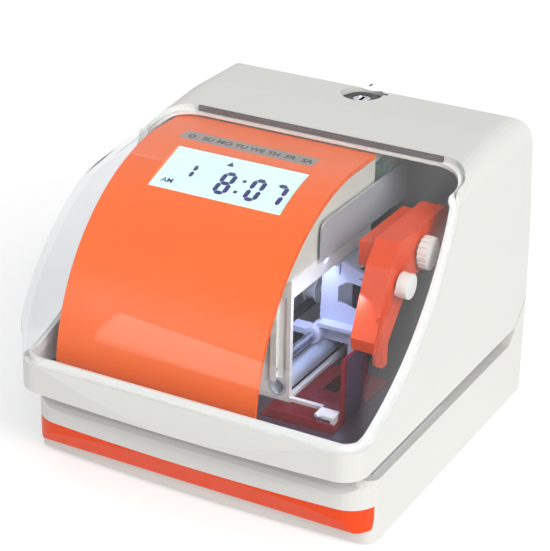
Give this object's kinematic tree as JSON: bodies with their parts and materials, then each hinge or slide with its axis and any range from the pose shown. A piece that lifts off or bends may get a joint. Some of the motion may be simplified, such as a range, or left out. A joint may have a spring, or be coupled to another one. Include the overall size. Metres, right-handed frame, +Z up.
{
  "type": "date and time stamp machine",
  "caption": "Boxy electronic time stamp with a lift-off hood, curved clear window over a printer bay and display panel, and a paper slot above its low base.",
  "frame": {"origin": "centre of the machine's overall footprint, at the underside of its rubber feet", "axes": "+X to the machine's right, +Y towards its rear, +Z up"},
  "size_m": [0.15, 0.165, 0.124],
  "materials": {
    "base_housing": "fine grain",
    "base_trim": "satin orange",
    "bottom_plate": "zinc",
    "rubber_feet": "matt",
    "bottom_screws": "zinc",
    "paper_table": "satin",
    "platen_pad": "matt",
    "paper_stop": "satin",
    "support_column": "matt",
    "deck_plate": "satin",
    "bay_floor": "satin",
    "printer_frame": "satin",
    "carriage_shaft": "ground",
    "guide_tube": "satin",
    "carriage": "satin",
    "print_head": "satin black",
    "drive_belt": "matt",
    "front_pulley": "satin",
    "pulley_axle": "ground",
    "drive_pulley": "satin",
    "drive_gear": "satin",
    "drive_motor": "zinc can",
    "motor_pinion": "cut",
    "ribbon_mask": "tinted, clear",
    "mask_clip": "satin",
    "locating_pin": "ground",
    "cassette_holder": "matt black",
    "ribbon_cassette": "satin orange",
    "ribbon_knob": "satin",
    "supply_wheel": "satin",
    "inked_ribbon": "inked",
    "module_case": "satin",
    "display_panel": "satin orange",
    "day_strip": "satin grey",
    "lcd_frame": "matt",
    "lcd_glass": "lit from behind",
    "lcd_backlight": "diffuser",
    "control_board": "circuit board",
    "set_button_left": "satin",
    "set_button_middle": "satin",
    "set_button_right": "satin",
    "side_plate": "satin",
    "back_plate": "satin",
    "bay_lamp": "circuit board with two lamps",
    "upper_case": "fine grain",
    "clear_cover": "clear moulded plastic",
    "cover_gasket": "matt",
    "lock_barrel": "polished",
    "lock_plug": "polished",
    "lock_cam": "zinc",
    "lock_nut": "zinc",
    "trigger_lever": "satin",
    "trigger_pin": "zinc",
    "power_board": "circuit board",
    "dc_inlet": "matt black"
  },
  "bodies": {
    "chassis": {"base_housing": "base_housing", "base_trim": "base_trim", "bottom_plate": "bottom_plate", "rubber_feet": "rubber_feet", "bottom_screws": "bottom_screws", "paper_table": "paper_table", "platen_pad": "platen_pad", "support_column": "support_column", "deck_plate": "deck_plate", "bay_floor": "bay_floor", "printer_frame": "printer_frame", "carriage_shaft": "carriage_shaft", "guide_tube": "guide_tube", "drive_belt": "drive_belt", "pulley_axle": "pulley_axle", "drive_motor": "drive_motor", "ribbon_mask": "ribbon_mask", "mask_clip": "mask_clip", "locating_pin": "locating_pin", "cassette_holder": "cassette_holder", "ribbon_cassette": "ribbon_cassette", "inked_ribbon": "inked_ribbon", "module_case": "module_case", "display_panel": "display_panel", "day_strip": "day_strip", "lcd_frame": "lcd_frame", "lcd_glass": "lcd_glass", "lcd_backlight": "lcd_backlight", "control_board": "control_board", "side_plate": "side_plate", "back_plate": "back_plate", "bay_lamp": "bay_lamp", "trigger_pin": "trigger_pin", "power_board": "power_board", "dc_inlet": "dc_inlet"},
    "hood": {"upper_case": "upper_case", "clear_cover": "clear_cover", "cover_gasket": "cover_gasket", "lock_barrel": "lock_barrel", "lock_nut": "lock_nut"},
    "lock": {"lock_plug": "lock_plug", "lock_cam": "lock_cam"},
    "stop": {"paper_stop": "paper_stop"},
    "carriage": {"carriage": "carriage", "print_head": "print_head"},
    "front_pulley": {"front_pulley": "front_pulley"},
    "drive": {"drive_pulley": "drive_pulley", "drive_gear": "drive_gear"},
    "motor_pinion": {"motor_pinion": "motor_pinion"},
    "ribbon_knob": {"ribbon_knob": "ribbon_knob"},
    "supply_wheel": {"supply_wheel": "supply_wheel"},
    "trigger": {"trigger_lever": "trigger_lever"},
    "button_left": {"set_button_left": "set_button_left"},
    "button_middle": {"set_button_middle": "set_button_middle"},
    "button_right": {"set_button_right": "set_button_right"}
  },
  "joints": [
    {"name": "hood_lift", "type": "slide", "parent": "chassis", "child": "hood", "axis": [0, 0, 1], "range_m": [0, 0.09]},
    {"name": "lock_turn", "type": "hinge", "parent": "hood", "child": "lock", "pos_m": [-0.001, 0.06999, 0.108], "axis": [0, 0, 1], "range_deg": [0, 90]},
    {"name": "stop_slide", "type": "slide", "parent": "chassis", "child": "stop", "axis": [0, 1, 0], "range_m": [-0.03, 0]},
    {"name": "carriage_slide", "type": "slide", "parent": "chassis", "child": "carriage", "axis": [0, 1, 0], "range_m": [-0.029, 0.012]},
    {"name": "front_pulley_turn", "type": "hinge", "parent": "chassis", "child": "front_pulley", "pos_m": [0.007, -0.03079, 0.0585], "axis": [1, 0, 0], "range_deg": [-310, 135]},
    {"name": "drive_turn", "type": "hinge", "parent": "chassis", "child": "drive", "pos_m": [0, 0.01621, 0.0585], "axis": [1, 0, 0], "range_deg": [-310, 135]},
    {"name": "motor_turn", "type": "hinge", "parent": "chassis", "child": "motor_pinion", "pos_m": [-0.008, 0.00901, 0.07097], "axis": [1, 0, 0], "range_deg": [-400, 930]},
    {"name": "knob_turn", "type": "hinge", "parent": "chassis", "child": "ribbon_knob", "pos_m": [0.0628, 0.00021, 0.0933], "axis": [1, 0, 0], "continuous": true},
    {"name": "wheel_turn", "type": "hinge", "parent": "chassis", "child": "supply_wheel", "pos_m": [0.0628, -0.01879, 0.0873], "axis": [1, 0, 0], "continuous": true},
    {"name": "trigger_swing", "type": "hinge", "parent": "chassis", "child": "trigger", "pos_m": [-0.04, -0.00149, 0.0425], "axis": [1, 0, 0], "range_deg": [0, 25], "stiffness_Nm_per_rad": 0.001, "springref_deg": -11.46},
    {"name": "button_left_press", "type": "slide", "parent": "chassis", "child": "button_left", "axis": [0, 0, -1], "range_m": [0, 0.0008], "stiffness_N_per_m": 200, "springref_m": -0.0012},
    {"name": "button_middle_press", "type": "slide", "parent": "chassis", "child": "button_middle", "axis": [0, 0, -1], "range_m": [0, 0.0008], "stiffness_N_per_m": 200, "springref_m": -0.0012},
    {"name": "button_right_press", "type": "slide", "parent": "chassis", "child": "button_right", "axis": [0, 0, -1], "range_m": [0, 0.0008], "stiffness_N_per_m": 200, "springref_m": -0.0012}
  ],
  "couplings": [
    {"joint": "front_pulley_turn", "follows": "carriage_slide", "rad_per_m": 181.82},
    {"joint": "drive_turn", "follows": "carriage_slide", "rad_per_m": 181.82},
    {"joint": "motor_turn", "follows": "carriage_slide", "rad_per_m": -545.45},
    {"joint": "wheel_turn", "follows": "knob_turn", "ratio": 1}
  ]
}
